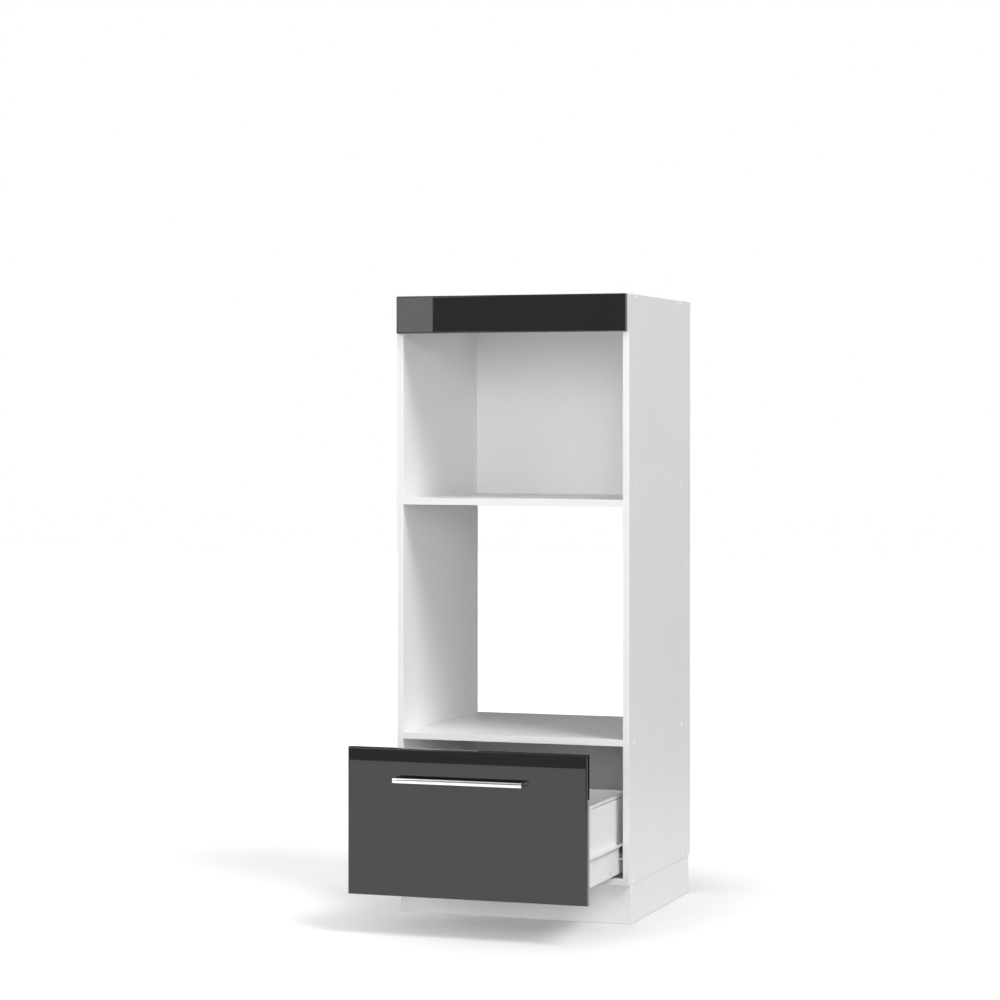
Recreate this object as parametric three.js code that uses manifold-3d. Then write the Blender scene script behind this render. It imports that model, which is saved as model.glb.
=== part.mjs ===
// Tall kitchen cabinet for a built-in microwave and a built-in oven, with one deep drawer.
// White board carcass on a plinth box, gloss fascia and drawer front, steel-sided drawer on rollers.
//
// Millimetres, +Z up, +X to the right seen from the front, +Y to the back. The origin lies on the
// floor, in the middle of the plinth's front board. The drawer stands open, as in the photograph.

import * as THREE from 'three';
import { mergeVertices } from 'three/addons/utils/BufferGeometryUtils.js';
import Module from 'manifold-3d';

const wasm = await Module();
wasm.setup();

// ---- Carcass ----------------------------------------------------------------------------------

const cabinetWidth = 600;
const carcassDepth = 558;
const carcassHeight = 1433;
const boardThickness = 16;
const drawerBayHeight = 320.5;
const ovenNicheHeight = 565;

// ---- Back panels, in grooves ------------------------------------------------------------------

const backPanelThickness = 3;
const backPanelInset = 6;
const grooveDepth = 8;
const grooveClearance = 0.3;

// ---- Plinth -----------------------------------------------------------------------------------

const plinthHeight = 97;
const plinthFrontRecess = 22;
const plinthRearRecess = 12;
const plinthSideInset = 1;

// ---- Fronts -----------------------------------------------------------------------------------

const frontThickness = 18;
const frontGap = 2;
const frontRound = 4;
const fasciaSideReveal = 4.5;
const fasciaHeight = 92;
const drawerFrontSideReveal = 2;
const drawerFrontHeight = 350;
const drawerFrontLift = 0.5;

const fasciaBracketHeight = 30;
const fasciaBracketDepth = 25;
const fasciaBracketWidth = 20;
const fasciaBracketDrop = 25;
const bracketSheet = 2;

// ---- Screw caps on the outer faces of the side panels ------------------------------------------
// Each row has one cap set in from the front edge and one set in from the rear edge.

const capRadius = 6;
const capHeight = 2;
const capEdgeHeight = 0.9;
const capCrownRadius = 3.5;
const capPegRadius = 2.4;
const capPegLength = 6;
const capHoleClearance = 0.3;
const capRowAboveMicrowaveShelf = 38;
const topCapInsets = [59, 95];
const microwaveCapInsets = [60, 89];
const ovenCapInsets = [42, 79];
const bottomCapInsets = [34, 70];

// ---- Drawer -----------------------------------------------------------------------------------

const drawerOpen = 314;
const drawerLength = 500;
const runnerClearance = 12.5;
const drawerSideHeight = 70;
const drawerSideLift = 11;
const drawerSideSheet = 1.5;
const drawerSideLedge = 16;
const drawerSideLip = 8;
const drawerBottomThickness = 16;
const drawerBackThickness = 16;
const drawerBackHeight = 164.5;
const drawerFit = 0.3;

const sideBoardThickness = 8;
const railRadius = 4.5;
const railLift = 113;

const frontBracketHeight = 36;
const frontBracketWidth = 12;
const frontBracketDepth = 38;
const frontBracketLift = 4.5;

const sideScrewHeadRadius = 5.5;
const sideScrewHeadHeight = 1.8;
const sideScrewEdgeHeight = 0.8;
const sideScrewCrownRadius = 3.8;
const sideScrewShankRadius = 1.9;
const sideScrewLength = 16;
const sideScrewTip = 2;
const sideScrewRearInset = 50;

// ---- Handle -----------------------------------------------------------------------------------

const handleLength = 320;
const handleProjection = 32;
const handleHeight = 12;
const handleBarDepth = 8;
const handleLegWidth = 10;
const handleOffset = -13;
const handleDrop = 72.5;
const handleRound = 2.5;

const handleScrewRadius = 1.9;
const handleScrewReach = 8;
const handleScrewHeadRadius = 4;
const handleScrewHeadHeight = 2.4;
const handleScrewEdgeHeight = 1.6;
const handleScrewCrownRadius = 2.8;
const handleScrewHoleClearance = 0.4;

// ---- Runners and rollers ----------------------------------------------------------------------

const runnerSheet = 1.5;
const runnerLength = 500;
const runnerFrontInset = 3;
const runnerHeight = 37;
const runnerFlange = 11;
const runnerHeadroom = 1.5;
const drawerRunnerHeight = 9;
const drawerRunnerFlange = 9.5;
const rollerRadius = 10;
const rollerWidth = 6;
const rollerChamfer = 1;
const rollerSideGap = 0.5;
const rearRollerStandoff = 2;
const rollerShoulderRadius = 3.6;
const rollerPinRadius = 2.5;
const rollerPinClearance = 0.2;
const rollerPinHeadRadius = 4;
const rollerPinHeadHeight = 0.9;
const rollerTrackGap = 0.3;
const rollerEndInset = 14;

// Cutting solids reach this far past the face that they open.
const cutOvershoot = 1;

// ---- Places worked out from the sizes above ---------------------------------------------------

const innerHalfWidth = cabinetWidth / 2 - boardThickness;
const fasciaHalfWidth = cabinetWidth / 2 - fasciaSideReveal;
const drawerFrontHalfWidth = cabinetWidth / 2 - drawerFrontSideReveal;
const cabinetTop = plinthHeight + carcassHeight;
const bottomPanelTop = plinthHeight + boardThickness;
const ovenShelfUnderside = bottomPanelTop + drawerBayHeight;
const ovenShelfTop = ovenShelfUnderside + boardThickness;
const microwaveShelfUnderside = ovenShelfTop + ovenNicheHeight;
const microwaveShelfTop = microwaveShelfUnderside + boardThickness;
const topPanelUnderside = cabinetTop - boardThickness;
const backPanelRear = carcassDepth - backPanelInset;
const backPanelFront = backPanelRear - backPanelThickness;
const frontBack = -frontGap;
const frontFace = frontBack - frontThickness;
const drawerSideOuter = innerHalfWidth - runnerClearance;
const drawerSideInner = drawerSideOuter - drawerSideSheet;
const drawerSideBottom = bottomPanelTop + drawerSideLift;
const drawerSideTop = drawerSideBottom + drawerSideHeight;
const drawerRear = frontBack + drawerLength;
const sideScrewPlaces = [drawerLength / 2, drawerLength - sideScrewRearInset];
const drawerBottomUnderside = drawerSideBottom + drawerSideSheet;
const drawerBottomTop = drawerBottomUnderside + drawerBottomThickness;
const ledgeInner = drawerSideOuter - drawerSideLedge;
const railHeight = drawerSideTop + railLift;
const railCentre = ledgeInner + sideBoardThickness / 2;
const drawerFrontBottom = plinthHeight + drawerFrontLift;
const drawerFrontTop = drawerFrontBottom + drawerFrontHeight;
const handleHeightAboveFloor = drawerFrontTop - handleDrop;
const runnerTop = drawerSideTop + runnerHeadroom + runnerSheet;
const runnerBottom = runnerTop - runnerHeight;
const frontRollerHeight = drawerSideTop - runnerSheet - rollerTrackGap - rollerRadius;
const rearRollerHeight = runnerBottom + runnerSheet + rollerTrackGap + rollerRadius;

// ---- Finishes ---------------------------------------------------------------------------------

const finishes = {
  whiteBoard: { color: 0xe9eaec, roughness: 0.45, metalness: 0 },
  whiteHardboard: { color: 0xe2e4e6, roughness: 0.5, metalness: 0 },
  glossAnthracite: { color: 0x3c3c3d, roughness: 0.06, metalness: 0 },
  creamSteel: { color: 0xe0e0d8, roughness: 0.4, metalness: 0.1 },
  whiteSteel: { color: 0xdfe0e0, roughness: 0.4, metalness: 0.1 },
  zincSteel: { color: 0xb4b8bc, roughness: 0.35, metalness: 1 },
  chrome: { color: 0xd6d8da, roughness: 0.08, metalness: 1 },
  blackNylon: { color: 0x26262a, roughness: 0.4, metalness: 0 },
  whitePlastic: { color: 0xf0f0f0, roughness: 0.35, metalness: 0 },
};

function finish(name) {
  return new THREE.MeshStandardMaterial(finishes[name]);
}

// ---- Solids -----------------------------------------------------------------------------------

function solidOf(geometry) {
  const bare = geometry.clone();
  bare.deleteAttribute('normal');
  bare.deleteAttribute('uv');
  const merged = mergeVertices(bare, 1e-4);
  const vertProperties = Float32Array.from(merged.attributes.position.array);
  const triVerts = Uint32Array.from(merged.index.array);
  return new wasm.Manifold(new wasm.Mesh({ numProp: 3, vertProperties, triVerts }));
}

function geometryOf(solid) {
  const mesh = solid.getMesh();
  const geometry = new THREE.BufferGeometry();
  geometry.setAttribute('position', new THREE.BufferAttribute(Float32Array.from(mesh.vertProperties), 3));
  geometry.setIndex(new THREE.BufferAttribute(Uint32Array.from(mesh.triVerts), 1));
  geometry.computeVertexNormals();
  return geometry;
}

function withCuts(geometry, cuts) {
  let solid = solidOf(geometry);
  for (const cut of cuts) solid = solid.subtract(solidOf(cut));
  return geometryOf(solid);
}

function withJoined(geometry, additions) {
  let solid = solidOf(geometry);
  for (const addition of additions) solid = solid.add(solidOf(addition));
  return geometryOf(solid);
}

// A box between two opposite corners.
function boxBetween(low, high) {
  const geometry = new THREE.BoxGeometry(high[0] - low[0], high[1] - low[1], high[2] - low[2]);
  return geometry.translate((low[0] + high[0]) / 2, (low[1] + high[1]) / 2, (low[2] + high[2]) / 2);
}

// A cross-section in X and Z, drawn for the right side, pulled along Y from yFront to yBack.
// side is 1 for the right and -1 for the mirrored left.
function pulledAlongY(points, side, yFront, yBack) {
  const shape = new THREE.Shape(points.map(([x, z]) => new THREE.Vector2(side * x, z)));
  const geometry = new THREE.ExtrudeGeometry(shape, { depth: yBack - yFront, bevelEnabled: false });
  return geometry.rotateX(Math.PI / 2).translate(0, yBack, 0);
}

// An outline in X and Y, drawn for the right side, raised from zLow to zHigh.
function raised(points, side, zLow, zHigh) {
  const shape = new THREE.Shape(points.map(([x, y]) => new THREE.Vector2(side * x, y)));
  const geometry = new THREE.ExtrudeGeometry(shape, { depth: zHigh - zLow, bevelEnabled: false });
  return geometry.translate(0, 0, zLow);
}

// A turned solid: profile points are [radius, distance along the axis].
function turned(profile, segments) {
  return new THREE.LatheGeometry(profile.map(([r, a]) => new THREE.Vector2(r, a)), segments);
}

// Turns a solid whose axis is +Y so that its axis points outwards, to +X or -X.
function facingSideways(geometry, side) {
  return geometry.rotateZ(-side * Math.PI / 2);
}

function addMesh(group, name, geometry, finishName, position = [0, 0, 0]) {
  const mesh = new THREE.Mesh(geometry, finish(finishName));
  mesh.name = name;
  mesh.position.set(...position);
  group.add(mesh);
  return mesh;
}

const sides = [['left', -1], ['right', 1]];

// ---- Carcass pieces ---------------------------------------------------------------------------

// The slot that a back panel stands in, as a box that reaches into all four neighbours.
function grooveFor(zLow, zHigh) {
  const reach = innerHalfWidth + grooveDepth;
  return boxBetween(
    [-reach, backPanelFront - grooveClearance, zLow - grooveDepth],
    [reach, backPanelRear + grooveClearance, zHigh + grooveDepth],
  );
}

const upperGroove = () => grooveFor(microwaveShelfTop, topPanelUnderside);
const lowerGroove = () => grooveFor(bottomPanelTop, ovenShelfUnderside);

function backPanel(zLow, zHigh) {
  const reach = grooveDepth - grooveClearance;
  return boxBetween(
    [-innerHalfWidth - reach, backPanelFront, zLow - reach],
    [innerHalfWidth + reach, backPanelRear, zHigh + reach],
  );
}

// The caps' places on a side panel: name, distance behind the front edge, height.
function capPlaces() {
  const rows = [
    ['bottom', bottomCapInsets, plinthHeight + boardThickness / 2],
    ['oven_shelf', ovenCapInsets, ovenShelfUnderside + boardThickness / 2],
    ['microwave_shelf', microwaveCapInsets,
      microwaveShelfUnderside + boardThickness / 2 + capRowAboveMicrowaveShelf],
    ['top', topCapInsets, topPanelUnderside + boardThickness / 2],
  ];
  return rows.flatMap(([row, insets, z]) => [
    { name: `${row}_front`, y: insets[0], z },
    { name: `${row}_rear`, y: carcassDepth - insets[1], z },
  ]);
}

function capHole(side, place) {
  const depth = capPegLength + capHoleClearance;
  const hole = turned([[0, -depth], [capPegRadius + capHoleClearance, -depth],
    [capPegRadius + capHoleClearance, cutOvershoot], [0, cutOvershoot]], 16);
  return facingSideways(hole, side).translate(side * cabinetWidth / 2, place.y, place.z);
}

function capGeometry(side) {
  const cap = turned([[0, -capPegLength], [capPegRadius, -capPegLength], [capPegRadius, 0],
    [capRadius, 0], [capRadius, capEdgeHeight], [capCrownRadius, capHeight], [0, capHeight]], 16);
  return facingSideways(cap, side);
}

function sidePanel(side) {
  const inner = side * innerHalfWidth;
  const outer = side * cabinetWidth / 2;
  const panel = boxBetween(
    [Math.min(inner, outer), 0, plinthHeight],
    [Math.max(inner, outer), carcassDepth, cabinetTop],
  );
  const holes = capPlaces().map((place) => capHole(side, place));
  return withCuts(panel, [upperGroove(), lowerGroove(), ...holes]);
}

function crossBoard(zLow, cuts) {
  const panel = boxBetween([-innerHalfWidth, 0, zLow], [innerHalfWidth, carcassDepth, zLow + boardThickness]);
  return cuts.length ? withCuts(panel, cuts) : panel;
}

function buildCarcass(group) {
  for (const [word, side] of sides) {
    addMesh(group, `side_panel_${word}`, sidePanel(side), 'whiteBoard');
    for (const place of capPlaces()) {
      addMesh(group, `screw_cap_${word}_${place.name}`, capGeometry(side), 'whitePlastic',
        [side * cabinetWidth / 2, place.y, place.z]);
    }
  }
  addMesh(group, 'top_panel', crossBoard(topPanelUnderside, [upperGroove()]), 'whiteBoard');
  addMesh(group, 'microwave_shelf', crossBoard(microwaveShelfUnderside, [upperGroove()]), 'whiteBoard');
  addMesh(group, 'oven_shelf', crossBoard(ovenShelfUnderside, [lowerGroove()]), 'whiteBoard');
  addMesh(group, 'bottom_panel', crossBoard(plinthHeight, [lowerGroove()]), 'whiteBoard');
  addMesh(group, 'upper_back_panel', backPanel(microwaveShelfTop, topPanelUnderside), 'whiteHardboard');
  addMesh(group, 'drawer_bay_back_panel', backPanel(bottomPanelTop, ovenShelfUnderside), 'whiteHardboard');
}

// ---- Plinth box: full-width front and rear boards, side boards between them --------------------

function buildPlinth(group) {
  const halfWidth = cabinetWidth / 2 - plinthSideInset;
  const front = plinthFrontRecess;
  const rear = carcassDepth - plinthRearRecess;
  const frontBoard = boxBetween([-halfWidth, front, 0], [halfWidth, front + boardThickness, plinthHeight]);
  const rearBoard = boxBetween([-halfWidth, rear - boardThickness, 0], [halfWidth, rear, plinthHeight]);
  addMesh(group, 'plinth_front_board', frontBoard, 'whiteBoard');
  addMesh(group, 'plinth_rear_board', rearBoard, 'whiteBoard');
  for (const [word, side] of sides) {
    const outer = side * halfWidth;
    const inner = side * (halfWidth - boardThickness);
    const sideBoard = boxBetween(
      [Math.min(inner, outer), front + boardThickness, 0],
      [Math.max(inner, outer), rear - boardThickness, plinthHeight],
    );
    addMesh(group, `plinth_side_board_${word}`, sideBoard, 'whiteBoard');
  }
}

// ---- Fascia and the steel angles that carry it --------------------------------------------------

// A front: a board with its front edges rounded. It is drawn with a rounding at the back as well,
// which lies past the back face and is cut away with it.
function frontPanel(halfWidth, zLow, zHigh, bores) {
  const shape = new THREE.Shape([
    [-halfWidth, zLow], [halfWidth, zLow], [halfWidth, zHigh], [-halfWidth, zHigh],
  ].map(([x, z]) => new THREE.Vector2(x, z)));
  const board = new THREE.ExtrudeGeometry(shape, {
    depth: frontThickness - frontRound,
    bevelThickness: frontRound,
    bevelSize: frontRound,
    bevelOffset: -frontRound,
    bevelSegments: 4,
  });
  board.rotateX(Math.PI / 2).translate(0, frontBack, 0);
  const beyond = boxBetween(
    [-halfWidth - cutOvershoot, frontBack, zLow - cutOvershoot],
    [halfWidth + cutOvershoot, frontBack + frontRound + cutOvershoot, zHigh + cutOvershoot],
  );
  return withCuts(board, [beyond, ...bores]);
}

function fasciaBracket(side) {
  const x = innerHalfWidth;
  const outline = [
    [x, frontBack], [x, fasciaBracketDepth], [x - bracketSheet, fasciaBracketDepth],
    [x - bracketSheet, frontBack + bracketSheet], [x - fasciaBracketWidth, frontBack + bracketSheet],
    [x - fasciaBracketWidth, frontBack],
  ];
  const top = topPanelUnderside - fasciaBracketDrop;
  return raised(outline, side, top - fasciaBracketHeight, top);
}

function buildFascia(group) {
  const panel = frontPanel(fasciaHalfWidth, cabinetTop - fasciaHeight, cabinetTop, []);
  addMesh(group, 'fascia_panel', panel, 'glossAnthracite');
  for (const [word, side] of sides) {
    addMesh(group, `fascia_bracket_${word}`, fasciaBracket(side), 'zincSteel');
  }
}

// ---- Runners and rollers ------------------------------------------------------------------------

// A riveted pin that starts in its sheet and points along `direction` on X. Its shoulder holds the
// roller `standoff` from the sheet.
function rollerPin(direction, standoff) {
  const shoulder = standoff - rollerSideGap;
  const length = standoff + rollerWidth + rollerSideGap;
  const start = -runnerSheet / 2;
  const base = shoulder > 0
    ? [[rollerShoulderRadius, start], [rollerShoulderRadius, shoulder], [rollerPinRadius, shoulder]]
    : [[rollerPinRadius, start]];
  const pin = turned([[0, start], ...base, [rollerPinRadius, length],
    [rollerPinHeadRadius, length], [rollerPinHeadRadius, length + rollerPinHeadHeight],
    [0, length + rollerPinHeadHeight]], 24);
  return facingSideways(pin, direction);
}

function roller() {
  const bore = rollerPinRadius + rollerPinClearance;
  const half = rollerWidth / 2;
  const shoulder = half - rollerChamfer;
  const wheel = turned([[bore, -half], [rollerRadius - rollerChamfer, -half], [rollerRadius, -shoulder],
    [rollerRadius, shoulder], [rollerRadius - rollerChamfer, half], [bore, half], [bore, -half]], 32);
  return facingSideways(wheel, 1);
}

// The cabinet runner: a channel screwed to the side panel, open towards the drawer.
function cabinetRunner(side) {
  const x = innerHalfWidth;
  const inner = x - runnerFlange;
  const channel = pulledAlongY([
    [x, runnerBottom], [x, runnerTop], [inner, runnerTop], [inner, runnerTop - runnerSheet],
    [x - runnerSheet, runnerTop - runnerSheet], [x - runnerSheet, runnerBottom + runnerSheet],
    [inner, runnerBottom + runnerSheet], [inner, runnerBottom],
  ], side, runnerFrontInset, runnerFrontInset + runnerLength);
  const pin = rollerPin(-side, rollerSideGap);
  pin.translate(side * (x - runnerSheet), rollerEndInset, frontRollerHeight);
  return withJoined(channel, [pin]);
}

// The drawer runner: an angle on the steel side whose flange rides on the front roller.
function drawerRunner(side) {
  const x = drawerSideOuter;
  const low = drawerSideTop - drawerRunnerHeight;
  return pulledAlongY([
    [x, low], [x, drawerSideTop], [x + drawerRunnerFlange, drawerSideTop],
    [x + drawerRunnerFlange, drawerSideTop - runnerSheet], [x + runnerSheet, drawerSideTop - runnerSheet],
    [x + runnerSheet, low],
  ], side, frontBack, drawerRear);
}

function buildCabinetRunners(group) {
  const rollerX = innerHalfWidth - runnerSheet - rollerSideGap - rollerWidth / 2;
  for (const [word, side] of sides) {
    addMesh(group, `cabinet_runner_${word}`, cabinetRunner(side), 'whiteSteel');
    addMesh(group, `front_roller_${word}`, roller(), 'blackNylon',
      [side * rollerX, rollerEndInset, frontRollerHeight]);
  }
}

// ---- Drawer -------------------------------------------------------------------------------------

// A round hole along X through the steel side and into the edge of the drawer bottom.
function sideScrewHole(side, place) {
  const radius = sideScrewShankRadius + drawerFit;
  const depth = sideScrewLength + drawerFit;
  const hole = turned([[0, -depth], [radius, -depth], [radius, cutOvershoot], [0, cutOvershoot]], 16);
  const y = frontBack + place;
  return facingSideways(hole, side).translate(side * drawerSideOuter, y, sideScrewHeight());
}

function sideScrewHeight() {
  return drawerBottomUnderside + drawerBottomThickness / 2;
}

function sideScrew(side) {
  const screw = turned([[0, -sideScrewLength], [sideScrewShankRadius, sideScrewTip - sideScrewLength],
    [sideScrewShankRadius, 0], [sideScrewHeadRadius, 0], [sideScrewHeadRadius, sideScrewEdgeHeight],
    [sideScrewCrownRadius, sideScrewHeadHeight], [0, sideScrewHeadHeight]], 16);
  return facingSideways(screw, side);
}

// Roll-formed steel side: ledge on top, flange below for the drawer bottom, both turned inwards.
// The rear roller's pin is riveted to its rear end.
function steelSide(side) {
  const x = drawerSideOuter;
  const sheet = drawerSideSheet;
  const profile = pulledAlongY([
    [x, drawerSideBottom], [x, drawerSideTop], [ledgeInner, drawerSideTop],
    [ledgeInner, drawerSideTop - drawerSideLip], [ledgeInner + sheet, drawerSideTop - drawerSideLip],
    [ledgeInner + sheet, drawerSideTop - sheet], [x - sheet, drawerSideTop - sheet],
    [x - sheet, drawerBottomUnderside], [ledgeInner, drawerBottomUnderside], [ledgeInner, drawerSideBottom],
  ], side, frontBack, drawerRear);
  const pin = rollerPin(side, rearRollerStandoff);
  pin.translate(side * x, drawerRear - rollerEndInset, rearRollerHeight);
  const drilled = withCuts(profile, sideScrewPlaces.map((place) => sideScrewHole(side, place)));
  return withJoined(drilled, [pin]);
}

function drawerBottom() {
  const halfWidth = drawerSideInner - drawerFit;
  const panel = boxBetween(
    [-halfWidth, frontBack, drawerBottomUnderside],
    [halfWidth, drawerRear, drawerBottomTop],
  );
  const holes = sides.flatMap(([, side]) => sideScrewPlaces.map((place) => sideScrewHole(side, place)));
  return withCuts(panel, holes);
}

// The back ends just inside the raised side boards and their rails.
function drawerBack() {
  const halfWidth = Math.min(ledgeInner, railCentre - railRadius) - drawerFit;
  return boxBetween(
    [-halfWidth, drawerRear - drawerBackThickness, drawerBottomTop],
    [halfWidth, drawerRear, drawerBottomTop + drawerBackHeight],
  );
}

function raisedSideBoard(side) {
  const inner = side * ledgeInner;
  const outer = side * (ledgeInner + sideBoardThickness);
  return boxBetween(
    [Math.min(inner, outer), frontBack, drawerSideTop],
    [Math.max(inner, outer), drawerRear, railHeight - railRadius - drawerFit],
  );
}

function galleryRail() {
  return new THREE.CylinderGeometry(railRadius, railRadius, drawerLength, 24);
}

function frontBracket(side) {
  const x = drawerSideInner - drawerFit;
  const outline = [
    [x, frontBack], [x, frontBack + frontBracketDepth], [x - bracketSheet, frontBack + frontBracketDepth],
    [x - bracketSheet, frontBack + bracketSheet], [x - frontBracketWidth, frontBack + bracketSheet],
    [x - frontBracketWidth, frontBack],
  ];
  const low = drawerBottomTop + frontBracketLift;
  return raised(outline, side, low, low + frontBracketHeight);
}

// ---- Drawer front and handle ----------------------------------------------------------------------

function handleScrewPlace(side) {
  return handleOffset + side * (handleLength - handleLegWidth) / 2;
}

// A bore along Y for a handle screw, from yFront to yBack.
function handleScrewBore(side, yFront, yBack) {
  const radius = handleScrewRadius + handleScrewHoleClearance;
  const bore = new THREE.CylinderGeometry(radius, radius, yBack - yFront, 16);
  return bore.translate(handleScrewPlace(side), (yFront + yBack) / 2, handleHeightAboveFloor);
}

function drawerFront() {
  const bores = sides.map(([, side]) =>
    handleScrewBore(side, frontFace - cutOvershoot, frontBack + cutOvershoot));
  return frontPanel(drawerFrontHalfWidth, drawerFrontBottom, drawerFrontTop, bores);
}

// The bow handle: a bar with a leg at each end, cast in one piece with rounded edges. The legs are
// drawn a little too long and then cut flat where they stand on the drawer front.
function handle() {
  const left = handleOffset - handleLength / 2;
  const right = handleOffset + handleLength / 2;
  const near = frontFace - handleProjection;
  const barBack = near + handleBarDepth;
  const foot = frontFace + handleRound;
  const shape = new THREE.Shape([
    [left, foot], [left, near], [right, near], [right, foot], [right - handleLegWidth, foot],
    [right - handleLegWidth, barBack], [left + handleLegWidth, barBack], [left + handleLegWidth, foot],
  ].map(([x, y]) => new THREE.Vector2(x, y)));
  const bow = new THREE.ExtrudeGeometry(shape, {
    depth: handleHeight - 2 * handleRound,
    bevelThickness: handleRound,
    bevelSize: handleRound,
    bevelOffset: -handleRound,
    bevelSegments: 4,
  });
  bow.translate(0, 0, handleHeightAboveFloor - handleHeight / 2 + handleRound);
  const middle = handleHeightAboveFloor;
  const beyond = boxBetween(
    [left - cutOvershoot, frontFace, middle - handleHeight],
    [right + cutOvershoot, foot + cutOvershoot, middle + handleHeight],
  );
  const boreEnd = frontFace - handleScrewReach - handleScrewHoleClearance;
  const bores = sides.map(([, side]) => handleScrewBore(side, boreEnd, frontFace + cutOvershoot));
  return withCuts(bow, [beyond, ...bores]);
}

function handleScrew() {
  const tip = frontFace - handleScrewReach;
  const headTop = frontBack + handleScrewHeadHeight;
  return turned([[0, tip], [handleScrewRadius, tip], [handleScrewRadius, frontBack],
    [handleScrewHeadRadius, frontBack], [handleScrewHeadRadius, frontBack + handleScrewEdgeHeight],
    [handleScrewCrownRadius, headTop], [0, headTop]], 20);
}

function buildDrawer(group) {
  addMesh(group, 'drawer_front', drawerFront(), 'glossAnthracite');
  addMesh(group, 'handle', handle(), 'chrome');
  addMesh(group, 'drawer_bottom', drawerBottom(), 'whiteBoard');
  addMesh(group, 'drawer_back', drawerBack(), 'whiteBoard');
  const rollerX = drawerSideOuter + rearRollerStandoff + rollerWidth / 2;
  for (const [word, side] of sides) {
    addMesh(group, `handle_screw_${word}`, handleScrew(), 'zincSteel',
      [handleScrewPlace(side), 0, handleHeightAboveFloor]);
    addMesh(group, `drawer_side_${word}`, steelSide(side), 'creamSteel');
    addMesh(group, `raised_side_board_${word}`, raisedSideBoard(side), 'whiteBoard');
    addMesh(group, `gallery_rail_${word}`, galleryRail(), 'whiteSteel',
      [side * railCentre, frontBack + drawerLength / 2, railHeight]);
    addMesh(group, `front_bracket_${word}`, frontBracket(side), 'zincSteel');
    addMesh(group, `drawer_runner_${word}`, drawerRunner(side), 'whiteSteel');
    addMesh(group, `rear_roller_${word}`, roller(), 'blackNylon',
      [side * rollerX, drawerRear - rollerEndInset, rearRollerHeight]);
    sideScrewPlaces.forEach((place, index) => {
      addMesh(group, `side_screw_${word}_${index + 1}`, sideScrew(side), 'zincSteel',
        [side * drawerSideOuter, frontBack + place, sideScrewHeight()]);
    });
  }
}

// ---- Assembly -------------------------------------------------------------------------------------

const cabinet = new THREE.Group();
cabinet.position.y = -(plinthFrontRecess + boardThickness / 2);

const carcass = new THREE.Group();
buildPlinth(carcass);
buildCarcass(carcass);
buildFascia(carcass);
buildCabinetRunners(carcass);
cabinet.add(carcass);

const drawer = new THREE.Group();
buildDrawer(drawer);
drawer.position.y = -drawerOpen;
cabinet.add(drawer);

export default cabinet;
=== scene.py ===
# Tall white kitchen cabinet for a built-in microwave and a built-in oven, with one deep open drawer,
# on a plain white studio floor. Metres, +Z up, +X to the right seen from the front, +Y to the back.

import math

import bmesh
import bpy
from mathutils import Matrix, Vector


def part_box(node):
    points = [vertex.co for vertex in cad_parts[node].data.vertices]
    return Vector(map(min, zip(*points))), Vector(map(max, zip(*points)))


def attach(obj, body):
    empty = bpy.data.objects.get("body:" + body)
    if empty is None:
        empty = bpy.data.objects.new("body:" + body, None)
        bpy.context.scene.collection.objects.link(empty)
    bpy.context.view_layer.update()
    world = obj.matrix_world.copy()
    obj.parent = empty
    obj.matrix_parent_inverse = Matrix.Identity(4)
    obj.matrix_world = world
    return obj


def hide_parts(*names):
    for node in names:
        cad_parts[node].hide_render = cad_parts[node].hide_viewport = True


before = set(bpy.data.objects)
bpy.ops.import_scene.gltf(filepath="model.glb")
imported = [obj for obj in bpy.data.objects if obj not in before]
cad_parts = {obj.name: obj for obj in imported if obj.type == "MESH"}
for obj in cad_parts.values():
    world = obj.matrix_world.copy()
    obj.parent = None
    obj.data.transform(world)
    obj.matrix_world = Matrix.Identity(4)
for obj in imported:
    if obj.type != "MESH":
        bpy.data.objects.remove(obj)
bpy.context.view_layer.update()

# ---- Camera -------------------------------------------------------------------------------------
# A long lens held level, 1.2 m above the floor and about 19 degrees to the right of straight ahead.
# The frame is shifted down so that the tall cabinet fills it without the camera being tipped.

camera_place = Vector((2.341, -6.932, 1.211))
camera_turn = math.radians(18.96)
sensor_width = 36.0
lens_in_image_widths = 2.97432
horizon_above_middle = 0.0747

lens = bpy.data.cameras.new("level_camera")
lens.sensor_width = sensor_width
lens.lens = lens_in_image_widths * sensor_width
lens.shift_y = -horizon_above_middle
lens.clip_end = 60.0
camera = bpy.data.objects.new("level_camera", lens)
camera.location = camera_place
camera.rotation_euler = (math.pi / 2, 0.0, camera_turn)
bpy.context.scene.collection.objects.link(camera)
bpy.context.scene.camera = camera
bpy.context.scene.view_settings.view_transform = "Standard"

# ---- Plinth -------------------------------------------------------------------------------------
# A box that the carcass stands on, set back at the front as a toe space: four boards of 16 mm
# chipboard, butted at the corners, with their edges rounded over. Their faces are white melamine,
# but for the back of the rear board, which is bare.

board_edge_radius = 0.0007
plinth_edge_radius = 0.0024
board_white = (0.893, 0.895, 0.898, 1.0)
board_white_warmer = (0.878, 0.879, 0.880, 1.0)
tape_white = (0.815, 0.817, 0.819, 1.0)
tape_white_warmer = (0.800, 0.801, 0.801, 1.0)
glue_line = (0.55, 0.555, 0.555, 1.0)
chip_pale = (0.62, 0.44, 0.26, 1.0)
chip_dark = (0.40, 0.25, 0.13, 1.0)
chip_dust = (0.68, 0.52, 0.34, 1.0)


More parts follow.
